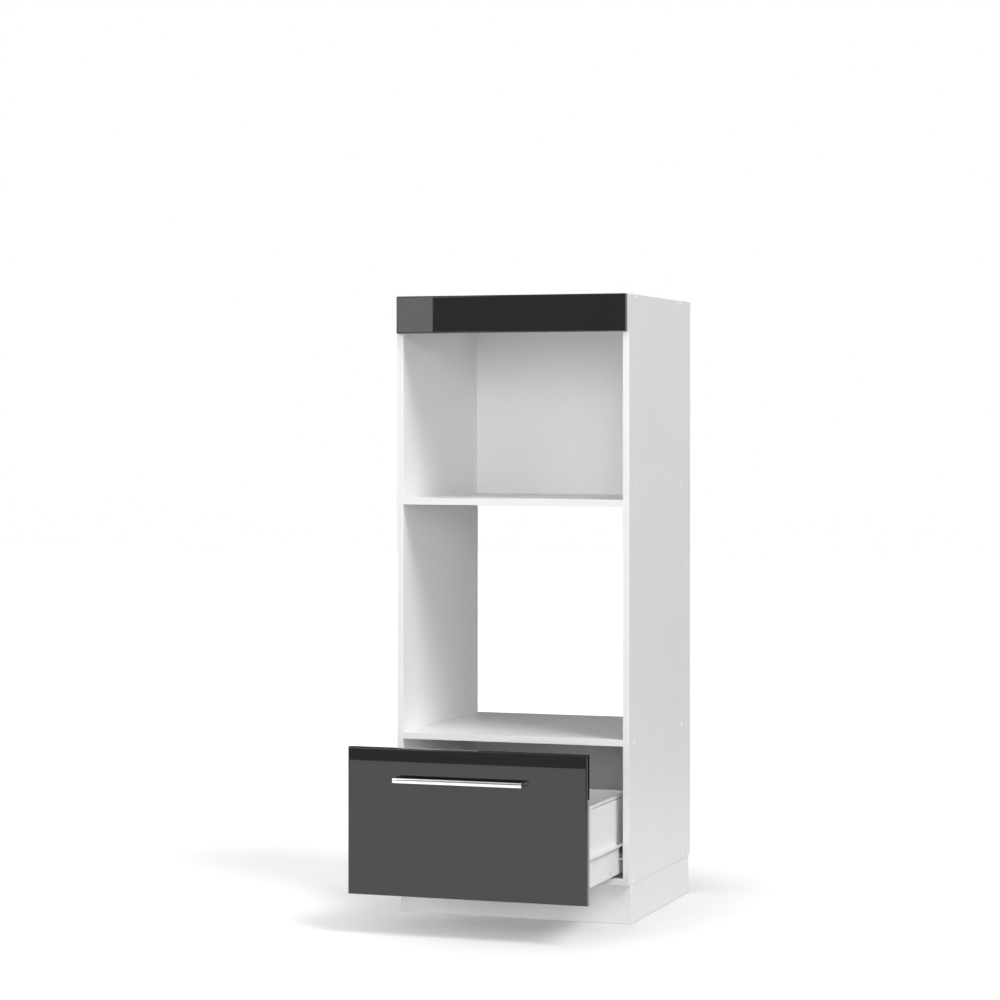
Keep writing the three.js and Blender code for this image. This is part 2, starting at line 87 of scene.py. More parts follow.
def new_group(name, inputs, outputs):
    """A shader node group with named sockets: inputs and outputs are (name, socket kind, value)."""
    group = bpy.data.node_groups.new(name, "ShaderNodeTree")
    for label, kind, value in inputs:
        socket = group.interface.new_socket(label, in_out="INPUT", socket_type=kind)
        if value is not None:
            socket.default_value = value
    for label, kind in outputs:
        group.interface.new_socket(label, in_out="OUTPUT", socket_type=kind)
    return group, group.nodes.new("NodeGroupInput"), group.nodes.new("NodeGroupOutput")


def noise(tree, place, scale, detail=2.0, roughness=0.5):
    """A noise texture's grey value on the given coordinates; scale may be a number or a socket."""
    texture = tree.nodes.new("ShaderNodeTexNoise")
    texture.inputs["Detail"].default_value = detail
    texture.inputs["Roughness"].default_value = roughness
    tree.links.new(place, texture.inputs["Vector"])
    if isinstance(scale, (int, float)):
        texture.inputs["Scale"].default_value = scale
    else:
        tree.links.new(scale, texture.inputs["Scale"])
    return texture.outputs["Fac"]


def spread(tree, value, low, high, new_low, new_high):
    """Maps a value from one range to another, held inside the new range."""
    mapped = tree.nodes.new("ShaderNodeMapRange")
    mapped.inputs["From Min"].default_value = low
    mapped.inputs["From Max"].default_value = high
    mapped.inputs["To Min"].default_value = new_low
    mapped.inputs["To Max"].default_value = new_high
    tree.links.new(value, mapped.inputs["Value"])
    return mapped.outputs["Result"]


def blended(tree, mask, first, second):
    """A colour that goes from first to second as the mask goes from 0 to 1."""
    mixed = tree.nodes.new("ShaderNodeMix")
    mixed.data_type = "RGBA"
    tree.links.new(mask, mixed.inputs["Factor"])
    for label, colour in (("A", first), ("B", second)):
        socket = next(s for s in mixed.inputs if s.name == label and s.type == "RGBA")
        if isinstance(colour, tuple):
            socket.default_value = colour
        else:
            tree.links.new(colour, socket)
    return next(s for s in mixed.outputs if s.type == "RGBA")


# The tiny pebbling of a pressed, sprayed or moulded face, and the faint cloudiness of its colour.
pebble, pebble_in, pebble_out = new_group(
    "pebbled_face",
    [
        ("Place", "NodeSocketVector", None),
        ("Pebbles", "NodeSocketFloat", 900.0),
        ("Clouds", "NodeSocketFloat", 9.0),
    ],
    [("Height", "NodeSocketFloat"), ("Cloud", "NodeSocketFloat")],
)
pebble_height = noise(pebble, pebble_in.outputs["Place"], pebble_in.outputs["Pebbles"], 3.0, 0.55)
pebble_cloud = noise(pebble, pebble_in.outputs["Place"], pebble_in.outputs["Clouds"], 4.0, 0.6)
pebble.links.new(pebble_height, pebble_out.inputs["Height"])
pebble.links.new(spread(pebble, pebble_cloud, 0.3, 0.7, 0.0, 1.0), pebble_out.inputs["Cloud"])


def start_finish(name, pebbles, clouds):
    """A new material with its shader, and the pebbled face's height and cloud on object coordinates."""
    finish = bpy.data.materials.new(name)
    finish.use_nodes = True
    tree = finish.node_tree
    shader = tree.nodes["Principled BSDF"]
    place = tree.nodes.new("ShaderNodeTexCoord").outputs["Object"]
    face = tree.nodes.new("ShaderNodeGroup")
    face.node_tree = pebble
    face.inputs["Pebbles"].default_value = pebbles
    face.inputs["Clouds"].default_value = clouds
    tree.links.new(place, face.inputs["Place"])
    return finish, tree, shader, place, face.outputs["Height"], face.outputs["Cloud"]


def press_in(tree, shader, height, depth):
    """Gives the shader a bump of the given depth, in metres."""
    bump = tree.nodes.new("ShaderNodeBump")
    bump.inputs["Strength"].default_value = 1.0
    bump.inputs["Distance"].default_value = depth
    tree.links.new(height, bump.inputs["Height"])
    tree.links.new(bump.outputs["Normal"], shader.inputs["Normal"])


# A hairline where an edge tape meets the board's face, at a given depth behind the front edges.
tape_line, tape_in, tape_out = new_group(
    "edge_tape_line",
    [
        ("Place", "NodeSocketVector", None),
        ("Depth", "NodeSocketFloat", 0.0),
        ("Half width", "NodeSocketFloat", 0.0001),
    ],
    [("Line", "NodeSocketFloat")],
)
tape_axes = tape_line.nodes.new("ShaderNodeSeparateXYZ")
tape_line.links.new(tape_in.outputs["Place"], tape_axes.inputs["Vector"])
tape_offset = tape_line.nodes.new("ShaderNodeMath")
tape_offset.operation = "SUBTRACT"
tape_line.links.new(tape_axes.outputs["Y"], tape_offset.inputs[0])
tape_line.links.new(tape_in.outputs["Depth"], tape_offset.inputs[1])
tape_distance = tape_line.nodes.new("ShaderNodeMath")
tape_distance.operation = "ABSOLUTE"
tape_line.links.new(tape_offset.outputs["Value"], tape_distance.inputs[0])
tape_near = tape_line.nodes.new("ShaderNodeMath")
tape_near.operation = "LESS_THAN"
tape_line.links.new(tape_distance.outputs["Value"], tape_near.inputs[0])
tape_line.links.new(tape_in.outputs["Half width"], tape_near.inputs[1])
tape_line.links.new(tape_near.outputs["Value"], tape_out.inputs["Line"])


glue_line_half_width = 0.00008
tape_thickness = 0.0008
carcass_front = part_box("side_panel_left")[0].y


def tape_mask(tree, place, depth):
    """The edge tape's hairline at one depth along Y."""
    line = tree.nodes.new("ShaderNodeGroup")
    line.node_tree = tape_line
    line.inputs["Depth"].default_value = depth
    line.inputs["Half width"].default_value = glue_line_half_width
    tree.links.new(place, line.inputs["Place"])
    return line.outputs["Line"]


def white_melamine(name, front_edge):
    """Satin white melamine on chipboard, with the tape's hairline just behind its front edge."""
    finish, tree, shader, place, height, cloud = start_finish(name, 1100.0, 7.0)
    plain = blended(tree, cloud, board_white, board_white_warmer)
    line = tape_mask(tree, place, front_edge + tape_thickness)
    tree.links.new(blended(tree, line, plain, glue_line), shader.inputs["Base Color"])
    tree.links.new(spread(tree, height, 0.25, 0.75, 0.42, 0.52), shader.inputs["Roughness"])
    press_in(tree, shader, height, 0.000012)
    return finish


def edge_tape():
    """The ironed-on tape of a visible edge: a shade greyer than the boards' faces and a little duller."""
    finish, tree, shader, _, height, cloud = start_finish("white_edge_tape", 800.0, 14.0)
    tree.links.new(blended(tree, cloud, tape_white, tape_white_warmer), shader.inputs["Base Color"])
    tree.links.new(spread(tree, height, 0.25, 0.75, 0.50, 0.60), shader.inputs["Roughness"])
    press_in(tree, shader, height, 0.000010)
    return finish


def raw_chipboard():
    """The sawn edge of chipboard: pressed wood chips in yellow-browns, coarse in the middle."""
    finish, tree, shader, place, height, cloud = start_finish("raw_chipboard", 420.0, 60.0)
    chips = tree.nodes.new("ShaderNodeTexVoronoi")
    chips.inputs["Scale"].default_value = 380.0
    tree.links.new(place, chips.inputs["Vector"])
    grey = tree.nodes.new("ShaderNodeRGBToBW")
    tree.links.new(chips.outputs["Color"], grey.inputs["Color"])
    chip_colour = blended(tree, grey.outputs["Val"], chip_pale, chip_dark)
    tree.links.new(blended(tree, cloud, chip_colour, chip_dust), shader.inputs["Base Color"])
    tree.links.new(spread(tree, height, 0.2, 0.8, 0.75, 0.95), shader.inputs["Roughness"])
    press_in(tree, shader, grey.outputs["Val"], 0.00025)
    return finish


carcass_melamine = white_melamine("white_melamine", carcass_front)
white_tape = edge_tape()
chipboard = raw_chipboard()

flat_within = math.radians(0.4)
curved_from = math.radians(2)
curved_to = math.radians(33)


def make_whole(solid):
    """Merges doubled points and makes each flat face one face."""
    bmesh.ops.remove_doubles(solid, verts=solid.verts, dist=1e-6)
    bmesh.ops.dissolve_limit(
        solid, angle_limit=flat_within, verts=solid.verts, edges=solid.edges, use_dissolve_boundaries=False
    )


def merged_copy(node):
    """A copy of a CAD node's mesh with whole flat faces; faces of a curve are shaded smooth."""
    solid = bmesh.new()
    solid.from_mesh(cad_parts[node].data)
    make_whole(solid)
    for face in solid.faces:
        face.smooth = any(curved_from < edge.calc_face_angle(0.0) < curved_to for edge in face.edges)
    return solid


def ease(solid, edges, radius, segments):
    """Rounds the given edges over; only the rounding is shaded smooth, so flat faces stay flat."""
    rounding = bmesh.ops.bevel(
        solid, geom=edges, offset=radius, offset_type="OFFSET", segments=segments,
        profile=0.5, affect="EDGES", material=-1, clamp_overlap=True,
    )
    for face in rounding["faces"]:
        face.smooth = True


def on_outline(edge, low, high):
    """True for one of the twelve outer edges of the box from low to high."""
    shared = 0
    for axis in range(3):
        places = [corner.co[axis] for corner in edge.verts]
        if any(all(abs(place - side) < 1e-5 for place in places) for side in (low[axis], high[axis])):
            shared += 1
    return shared >= 2


def finished_piece(name, solid, finishes, body, slot, *stands_for):
    """Makes a piece of the scene from a bmesh: its finish, the body it rides on, what it stands for."""
    for edge in solid.edges:
        edge.smooth = edge.calc_face_angle(0.0) < curved_to
    mesh = bpy.data.meshes.new(name)
    solid.to_mesh(mesh)
    solid.free()
    if "custom_normal" in mesh.attributes:
        mesh.attributes.remove(mesh.attributes["custom_normal"])
    for finish in finishes:
        mesh.materials.append(finish)
    piece = bpy.data.objects.new(name, mesh)
    bpy.context.scene.collection.objects.link(piece)
    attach(piece, body)
    if stands_for:
        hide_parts(*stands_for)


def eased_board(node, body, finish, taped_front=False, raw_rear=False, radius=board_edge_radius):
    """A board with eased edges; its front may be taped and its rear raw chipboard."""
    solid = merged_copy(node)
    low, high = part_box(node)
    ease(solid, [edge for edge in solid.edges if on_outline(edge, low, high)], radius, 2)
    for face in solid.faces:
        face.material_index = 0
        middle = face.calc_center_median()
        if taped_front and abs(middle.y - low.y) < 1e-4 and face.normal.y < -0.99:
            face.material_index = 1
        if raw_rear and abs(middle.y - high.y) < 1e-4 and face.normal.y > 0.99:
            face.material_index = 2
    finished_piece(f"{node}_board", solid, [finish, white_tape, chipboard], body, "white_board", node)


for plinth_board in ("plinth_front_board", "plinth_side_board_left", "plinth_side_board_right"):
    eased_board(plinth_board, "carcass", carcass_melamine, radius=plinth_edge_radius)
eased_board("plinth_rear_board", "carcass", carcass_melamine, raw_rear=True, radius=plinth_edge_radius)

# ---- Carcass boards -----------------------------------------------------------------------------
# Two side panels with the bottom panel, both shelves and the top panel screwed between them, all
# 16 mm white melamine-faced chipboard. Front edges are taped white; rear edges are left as sawn.

for carcass_board in (
    "side_panel_left", "side_panel_right", "bottom_panel", "oven_shelf", "microwave_shelf", "top_panel",
):
    eased_board(carcass_board, "carcass", carcass_melamine, taped_front=True, raw_rear=True)

# ---- Back panels --------------------------------------------------------------------------------
# Thin hardboard slid into grooves behind the microwave niche and behind the drawer. The face
# towards the niche is lacquered white and the back is the bare brown fibre.

hardboard_white = (0.885, 0.893, 0.902, 1.0)
hardboard_white_darker = (0.865, 0.873, 0.882, 1.0)
fibre_brown = (0.235, 0.130, 0.062, 1.0)
fibre_brown_lighter = (0.300, 0.175, 0.090, 1.0)
fibre_speck = (0.12, 0.062, 0.03, 1.0)
hardboard_edge_radius = 0.0003


def lacquered_hardboard():
    """A thin white lacquer rolled on hardboard, a little uneven in gloss."""
    finish, tree, shader, _, height, cloud = start_finish("lacquered_hardboard", 700.0, 5.0)
    tree.links.new(blended(tree, cloud, hardboard_white, hardboard_white_darker), shader.inputs["Base Color"])
    tree.links.new(spread(tree, height, 0.25, 0.75, 0.48, 0.6), shader.inputs["Roughness"])
    press_in(tree, shader, height, 0.00002)
    return finish


def bare_hardboard():
    """Pressed brown wood fibre, with dark specks."""
    finish, tree, shader, place, height, cloud = start_finish("bare_hardboard", 900.0, 30.0)
    fibres = blended(tree, cloud, fibre_brown, fibre_brown_lighter)
    specks = spread(tree, noise(tree, place, 520.0, 1.0), 0.62, 0.70, 0.0, 1.0)
    tree.links.new(blended(tree, specks, fibres, fibre_speck), shader.inputs["Base Color"])
    tree.links.new(spread(tree, height, 0.2, 0.8, 0.6, 0.8), shader.inputs["Roughness"])
    press_in(tree, shader, height, 0.00005)
    return finish


white_lacquer = lacquered_hardboard()
brown_fibre = bare_hardboard()


def back_panel(node):
    """A hardboard panel, white towards the niche and on its edges, brown behind."""
    solid = merged_copy(node)
    low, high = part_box(node)
    ease(solid, [edge for edge in solid.edges if on_outline(edge, low, high)], hardboard_edge_radius, 1)
    for face in solid.faces:
        face.material_index = 1 if face.normal.y > 0.5 else 0
    finished_piece(
        f"{node}_hardboard", solid, [white_lacquer, brown_fibre], "carcass", "white_hardboard", node
    )


for niche_back in ("upper_back_panel", "drawer_bay_back_panel"):
    back_panel(niche_back)

# ---- Screw caps ---------------------------------------------------------------------------------
# White moulded plastic caps pushed into the countersinks of the carcass screws, two a board end.
# Each is a shallow dome with a rounded rim that stands on the side panel, and a peg behind it.

cap_radius = 0.006
cap_height = 0.002
cap_rim = 0.0004
cap_under_rim = 0.0001
cap_peg_radius = 0.0022
cap_peg_length = 0.0058
dome_steps = 8
cap_dome_start = 12
cap_dome_power = 0.55
cap_white = (0.930, 0.935, 0.938, 1.0)
cap_white_darker = (0.880, 0.885, 0.888, 1.0)


def moulded_plastic(name, colour, second_colour, gloss_low, gloss_high):
    """Satin moulded plastic with faint sink and flow marks."""
    finish, tree, shader, _, height, cloud = start_finish(name, 1500.0, 160.0)
    tree.links.new(blended(tree, cloud, colour, second_colour), shader.inputs["Base Color"])
    tree.links.new(spread(tree, height, 0.25, 0.75, gloss_low, gloss_high), shader.inputs["Roughness"])
    press_in(tree, shader, height, 0.000006)
    return finish


cap_plastic = moulded_plastic("white_cap_plastic", cap_white, cap_white_darker, 0.28, 0.38)


def turned_shape(profile, steps):
    """A turned solid about +X: profile points are (radius, distance along the axis)."""
    solid = bmesh.new()
    rim = [solid.verts.new((along, 0.0, radius)) for radius, along in profile]
    line = [solid.edges.new(pair) for pair in zip(rim, rim[1:])]
    bmesh.ops.spin(
        solid, geom=rim + line, cent=(0.0, 0.0, 0.0), axis=(1.0, 0.0, 0.0),
        angle=2 * math.pi, steps=steps, use_merge=True, use_duplicate=False,
    )
    bmesh.ops.remove_doubles(solid, verts=solid.verts, dist=1e-7)
    bmesh.ops.recalc_face_normals(solid, faces=solid.faces)
    for face in solid.faces:
        face.smooth = True
    return solid


def facing(solid, side):
    """Turns a shape whose axis is +X to face left where side is -1."""
    if side < 0:
        half_turn = Matrix.Rotation(math.pi, 3, "Z")
        bmesh.ops.rotate(solid, cent=(0.0, 0.0, 0.0), matrix=half_turn, verts=solid.verts)


cap_rows = ("bottom", "oven_shelf", "microwave_shelf", "top")
cap_profile = [
    (0.0, -cap_peg_length), (cap_peg_radius, -cap_peg_length), (cap_peg_radius, 0.0),
    (cap_radius - cap_under_rim, 0.0), (cap_radius, cap_rim),
]
for step in range(dome_steps + 1):
    turn = math.radians(cap_dome_start + (90 - cap_dome_start) * step / dome_steps)
    cap_reach = (cap_radius - cap_under_rim) * math.cos(turn) ** cap_dome_power
    cap_profile.append((cap_reach, cap_rim + (cap_height - cap_rim) * math.sin(turn)))

for cap_word, cap_side in (("left", -1), ("right", 1)):
    for cap_row in cap_rows:
        for cap_end in ("front", "rear"):
            cap_node = f"screw_cap_{cap_word}_{cap_row}_{cap_end}"
            cap_low, cap_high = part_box(cap_node)
            cap_foot = (cap_high.x if cap_side > 0 else cap_low.x) - cap_side * cap_height
            cap = turned_shape(cap_profile, 32)
            facing(cap, cap_side)
            cap_middle = (cap_low + cap_high) / 2
            bmesh.ops.translate(cap, vec=(cap_foot, cap_middle.y, cap_middle.z), verts=cap.verts)
            finished_piece(f"{cap_node}_dome", cap, [cap_plastic], "carcass", "cap_plastic", cap_node)

# ---- Fascia and its steel angles ----------------------------------------------------------------
# A strip of 18 mm fibreboard with rounded front edges, lacquered in mirror-gloss anthracite, held
# in front of the niche by two zinc-plated angles screwed to the side panels.

front_round = 0.004
front_rear_edge_radius = 0.0008
anthracite = (0.0105, 0.0105, 0.0110, 1.0)
anthracite_lighter = (0.0125, 0.0125, 0.0130, 1.0)


def gloss_lacquer():
    """Mirror-gloss anthracite: a hard clear face with a very faint waviness and hairline swirls."""
    finish, tree, shader, place, height, cloud = start_finish("gloss_anthracite_face", 18.0, 3.0)
    tree.links.new(blended(tree, cloud, anthracite, anthracite_lighter), shader.inputs["Base Color"])
    swirls = spread(tree, noise(tree, place, 45.0, 6.0, 0.7), 0.45, 0.75, 0.008, 0.022)
    tree.links.new(swirls, shader.inputs["Roughness"])
    shader.inputs["IOR"].default_value = 1.6
    press_in(tree, shader, height, 0.000002)
    return finish


anthracite_gloss = gloss_lacquer()


def square_up(solid, low, high, round_off):
    """Makes a board's rounded front edges sharp, so that they can be rounded more finely."""
    for corner in solid.verts:
        to_side = min(corner.co.x - low.x, high.x - corner.co.x)
        to_end = min(corner.co.z - low.z, high.z - corner.co.z)
        if corner.co.y < low.y + round_off - 1e-5 and max(to_side, to_end) < round_off + 1e-5:
            corner.co.x = low.x if corner.co.x - low.x < high.x - corner.co.x else high.x
            corner.co.z = low.z if corner.co.z - low.z < high.z - corner.co.z else high.z
            corner.co.y = low.y
    make_whole(solid)


def gloss_front(node, body):
    """A gloss front, rounded all round at the front and only eased at the back."""
    solid = merged_copy(node)
    low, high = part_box(node)
    square_up(solid, low, high, front_round)
    for face in solid.faces:
        face.smooth = False
    outline = [edge for edge in solid.edges if on_outline(edge, low, high)]
    at_front = [edge for edge in outline if all(abs(corner.co.y - low.y) < 1e-5 for corner in edge.verts)]
    ease(solid, at_front, front_round, 8)
    at_rear = [
        edge for edge in solid.edges
        if on_outline(edge, low, high) and all(abs(corner.co.y - high.y) < 1e-5 for corner in edge.verts)
    ]
    ease(solid, at_rear, front_rear_edge_radius, 2)
    finished_piece(f"{node}_gloss", solid, [anthracite_gloss], body, "gloss_anthracite", node)


gloss_front("fascia_panel", "carcass")

zinc_grey = (0.76, 0.78, 0.80, 1.0)
zinc_grey_darker = (0.62, 0.64, 0.67, 1.0)
sheet_edge_radius = 0.0003


def zinc_plate():
    """Bright zinc plating: cloudy, with the roller marks of the sheet under it."""
    finish, tree, shader, place, height, cloud = start_finish("zinc_plate", 600.0, 90.0)
    tree.links.new(blended(tree, cloud, zinc_grey, zinc_grey_darker), shader.inputs["Base Color"])
    marks = noise(tree, place, 240.0, 3.0)
    tree.links.new(spread(tree, marks, 0.3, 0.7, 0.26, 0.42), shader.inputs["Roughness"])
    shader.inputs["Metallic"].default_value = 1.0
    press_in(tree, shader, height, 0.00001)
    return finish


zinc = zinc_plate()


def is_corner(edge):
    """True where two faces of a solid meet at a real corner."""
    return edge.calc_face_angle(0.0) > math.radians(60)


def bent_angle(node, body):
    """A bent sheet angle with its edges broken."""
    solid = merged_copy(node)
    ease(solid, [edge for edge in solid.edges if is_corner(edge)], sheet_edge_radius, 2)
    finished_piece(f"{node}_angle", solid, [zinc], body, "zinc_steel", node)


for angle_word in ("left", "right"):
    bent_angle(f"fascia_bracket_{angle_word}", "carcass")

# ---- Cabinet runners ----------------------------------------------------------------------------
# White powder-coated steel channels screwed to the side panels, open towards the drawer. A pin is
# riveted to the front of each for the roller that the drawer's own runner rides on.

coat_white = (0.78, 0.785, 0.775, 1.0)
coat_white_darker = (0.72, 0.725, 0.715, 1.0)
inside_bend_radius = 0.0005
outside_bend_radius = 0.0006
long_edge = 0.4


def powder_coat(name, colour, second_colour):
    """Sprayed and baked powder: satin, with the fine orange peel that it flows out to."""
    finish, tree, shader, _, height, cloud = start_finish(name, 520.0, 12.0)
    tree.links.new(blended(tree, cloud, colour, second_colour), shader.inputs["Base Color"])
    tree.links.new(spread(tree, height, 0.25, 0.75, 0.30, 0.42), shader.inputs["Roughness"])
    press_in(tree, shader, height, 0.00003)
    return finish


white_coat = powder_coat("white_powder_coat", coat_white, coat_white_darker)


def is_long(edge):
    """True for an edge that runs most of the length of a runner or drawer side."""
    return abs(edge.verts[0].co.y - edge.verts[1].co.y) > long_edge


def rolled_steel(node, label, finish, body, slot):
    """A rolled steel section with its bends rounded: wider outside a bend, tighter inside it."""
    solid = merged_copy(node)
    inside = [edge for edge in solid.edges if is_long(edge) and is_corner(edge) and not edge.is_convex]
    ease(solid, inside, inside_bend_radius, 2)
    outside = [edge for edge in solid.edges if is_long(edge) and is_corner(edge) and edge.is_convex]
    ease(solid, outside, outside_bend_radius, 3)
    finished_piece(f"{node}_{label}", solid, [finish], body, slot, node)


for runner_word in ("left", "right"):
    rolled_steel(f"cabinet_runner_{runner_word}", "channel", white_coat, "carcass", "runner_steel")

# ---- Rollers ------------------------------------------------------------------------------------
# Black nylon rollers, moulded with a hub, a shallow dished web and a rounded tread. The front pair
# turns on the cabinet runners' pins, the rear pair on pins riveted to the drawer's steel sides.

roller_radius = 0.010
roller_half_width = 0.003
roller_bore = 0.0027
hub_radius = 0.0044
web_radii = (0.0047, 0.0072)
web_depth = 0.0007
rim_radius = 0.0075
tread_rounding = ((0.0008, 0.0), (0.0002, 0.0003), (0.0, 0.0010))
nylon_black = (0.018, 0.018, 0.019, 1.0)
nylon_black_lighter = (0.028, 0.028, 0.029, 1.0)
nylon = moulded_plastic("black_nylon", nylon_black, nylon_black_lighter, 0.32, 0.5)


def roller_shape():
    """A roller about +X: bore, hub, dished web, rim and rounded tread."""
    face = roller_half_width
    web = face - web_depth
    half = [(roller_bore, face), (hub_radius, face), (web_radii[0], web), (web_radii[1], web)]
    half.append((rim_radius, face))
    half += [(roller_radius - from_tread, face - from_face) for from_tread, from_face in tread_rounding]
    mirrored = [(radius, -along) for radius, along in reversed(half)]
    return turned_shape([*half, *mirrored, half[0]], 48)


for roller_end in ("front", "rear"):
    for roller_word in ("left", "right"):
        roller_node = f"{roller_end}_roller_{roller_word}"
        roller_low, roller_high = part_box(roller_node)
        wheel = roller_shape()
        bmesh.ops.translate(wheel, vec=(roller_low + roller_high) / 2, verts=wheel.verts)
        finished_piece(
            f"{roller_node}_wheel", wheel, [nylon], f"{roller_node}_body", "roller_nylon", roller_node
        )

# ---- Drawer sides and runners -------------------------------------------------------------------
# Roll-formed steel sides, cream powder-coated, with a ledge on top and a flange below that carries
# the drawer bottom. The drawer's runner is a steel angle welded along the top of each side.

cream = (0.860, 0.860, 0.842, 1.0)
cream_darker = (0.835, 0.835, 0.815, 1.0)
cream_coat = powder_coat("cream_powder_coat", cream, cream_darker)

for steel_word in ("left", "right"):
    rolled_steel(f"drawer_side_{steel_word}", "steel", cream_coat, "drawer", "drawer_steel")
    rolled_steel(f"drawer_runner_{steel_word}", "angle", white_coat, "drawer", "runner_steel")

# ---- Drawer bottom, back and raised side boards --------------------------------------------------
# White melamine boards: the bottom lies on the steel sides' flanges, the back stands on it, and
# thin boards raise the sides up to the gallery rails.

drawer_front_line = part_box("drawer_bottom")[0].y
drawer_melamine = white_melamine("white_melamine_drawer", drawer_front_line)
for drawer_board in ("drawer_bottom", "drawer_back", "raised_side_board_left", "raised_side_board_right"):
    eased_board(drawer_board, "drawer", drawer_melamine)

# ---- Gallery rails --------------------------------------------------------------------------------
# Thin steel tubes, powder-coated white, along the top of the raised side boards from the drawer
# front to the back, with their ends rounded over.

rail_end_radius = 0.0008


def gallery_rail(node):
    """A round tube along Y, rounded over at both ends."""
    low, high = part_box(node)
    middle = (low + high) / 2
    tube = bmesh.new()
    bmesh.ops.create_cone(
        tube, cap_ends=True, cap_tris=False, segments=48,
        radius1=(high.z - low.z) / 2, radius2=(high.z - low.z) / 2, depth=high.y - low.y,
    )
    lying = Matrix.Rotation(math.pi / 2, 3, "X")
    bmesh.ops.rotate(tube, cent=(0.0, 0.0, 0.0), matrix=lying, verts=tube.verts)
    bmesh.ops.translate(tube, vec=middle, verts=tube.verts)
    ease(tube, [edge for edge in tube.edges if is_corner(edge)], rail_end_radius, 3)
    finished_piece(f"{node}_tube", tube, [white_coat], "drawer", "rail_coat", node)


for rail_word in ("left", "right"):
    gallery_rail(f"gallery_rail_{rail_word}")

# ---- Front brackets and side screws --------------------------------------------------------------
# Zinc-plated angles hold the drawer front to the steel sides. Pan-head screws with a cross recess
# go through each steel side into the edge of the drawer bottom.

for bracket_word in ("left", "right"):
    bent_angle(f"front_bracket_{bracket_word}", "drawer")

screw_tip_length = 0.0025
screw_tip_share = 0.3
screw_rim_share = 0.25
screw_dome_power = 0.7
recess_arm_share = 0.24
recess_reach_share = 0.8
recess_depth_share = 0.6


def pan_head_screw(head_radius, head_height, shank_radius, shank_length, recess):
    """A screw about +X with its head's underside at 0: domed head with a cross recess, plain shank."""
    profile = [(0.0, -shank_length), (shank_radius * screw_tip_share, -shank_length)]
    profile += [(shank_radius, -shank_length + screw_tip_length), (shank_radius, 0.0), (head_radius, 0.0)]
    for step in range(dome_steps - 1):
        turn = math.radians(90 * step / dome_steps)
        rise = screw_rim_share + (1.0 - screw_rim_share) * math.sin(turn)
        profile.append((head_radius * math.cos(turn) ** screw_dome_power, head_height * rise))
    flat = profile[-1][0]
    solid = turned_shape(profile, 40)
    boundary = [edge for edge in solid.edges if edge.is_boundary]
    bmesh.ops.holes_fill(solid, edges=boundary, sides=0)
    top = max(corner.co.x for corner in solid.verts)
    arm, reach = recess * recess_arm_share, min(recess, flat * recess_reach_share)
    cuts = [(1, arm), (1, -arm), (2, arm), (2, -arm), (1, reach), (1, -reach), (2, reach), (2, -reach)]
    for axis, place in cuts:
        normal = Vector((0.0, 0.0, 0.0))
        normal[axis] = 1.0
        crown = [
            face for face in solid.faces
            if face.normal.x > 0.999 and abs(face.calc_center_median().x - top) < 1e-6
        ]
        geometry = set(crown)
        for face in crown:
            geometry.update(face.edges)
            geometry.update(face.verts)
        bmesh.ops.bisect_plane(
            solid, geom=list(geometry), plane_co=normal * place, plane_no=normal, dist=1e-7
        )
    pocket = []
    for face in solid.faces:
        middle = face.calc_center_median()
        flat_top = face.normal.x > 0.999 and abs(middle.x - top) < 1e-6
        across, along = abs(middle.y), abs(middle.z)
        if flat_top and ((across < arm and along < reach) or (along < arm and across < reach)):
            pocket.append(face)
    sunk = bmesh.ops.extrude_face_region(solid, geom=pocket)["geom"]
    walls = [corner for corner in sunk if isinstance(corner, bmesh.types.BMVert)]
    bmesh.ops.translate(solid, vec=(-head_height * recess_depth_share, 0.0, 0.0), verts=walls)
    return solid


side_screw_head_radius = 0.0054
side_screw_head_height = 0.0018
side_screw_shank_radius = 0.0018
side_screw_length = 0.0158
side_screw_recess = 0.0026

for screw_word, screw_side in (("left", -1), ("right", 1)):
    for screw_number in (1, 2):
        screw_node = f"side_screw_{screw_word}_{screw_number}"
        screw_low, screw_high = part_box(screw_node)
        screw_middle = (screw_low + screw_high) / 2
        screw_face = screw_high.x if screw_side > 0 else screw_low.x
        screw_seat = screw_face - screw_side * side_screw_head_height
        screw = pan_head_screw(
            side_screw_head_radius, side_screw_head_height, side_screw_shank_radius, side_screw_length,
            side_screw_recess,
        )
        facing(screw, screw_side)
        bmesh.ops.translate(screw, vec=(screw_seat, screw_middle.y, screw_middle.z), verts=screw.verts)
        finished_piece(f"{screw_node}_pan_head", screw, [zinc], "drawer", "zinc_steel", screw_node)

# ---- Drawer front ---------------------------------------------------------------------------------
# The deep gloss front, the same board as the fascia, bored twice for the handle's screws.

gloss_front("drawer_front", "drawer")

# ---- Handle and its screws ------------------------------------------------------------------------
# A chromed zinc casting: a straight bar with a softly crowned front and a leg at each end, held by
# two pan-head screws from inside the drawer.

handle_low, handle_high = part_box("handle")
handle_bar_depth = 0.008
handle_leg_width = 0.010
handle_crown = 0.0054
handle_edge_radius = 0.0005
crown_stretch = 2.2
chrome_light = (0.90, 0.905, 0.91, 1.0)
chrome_dark = (0.84, 0.845, 0.85, 1.0)


def chrome_plate():
    """Polished chrome with faint wipe marks in its gloss."""
    finish, tree, shader, place, height, cloud = start_finish("handle_chrome_plate", 260.0, 40.0)
    tree.links.new(blended(tree, cloud, chrome_light, chrome_dark), shader.inputs["Base Color"])
    wipes = noise(tree, place, 130.0, 5.0, 0.65)
    tree.links.new(spread(tree, wipes, 0.35, 0.7, 0.05, 0.10), shader.inputs["Roughness"])
    shader.inputs["Metallic"].default_value = 1.0
    press_in(tree, shader, height, 0.000003)
    return finish


handle_chrome = chrome_plate()


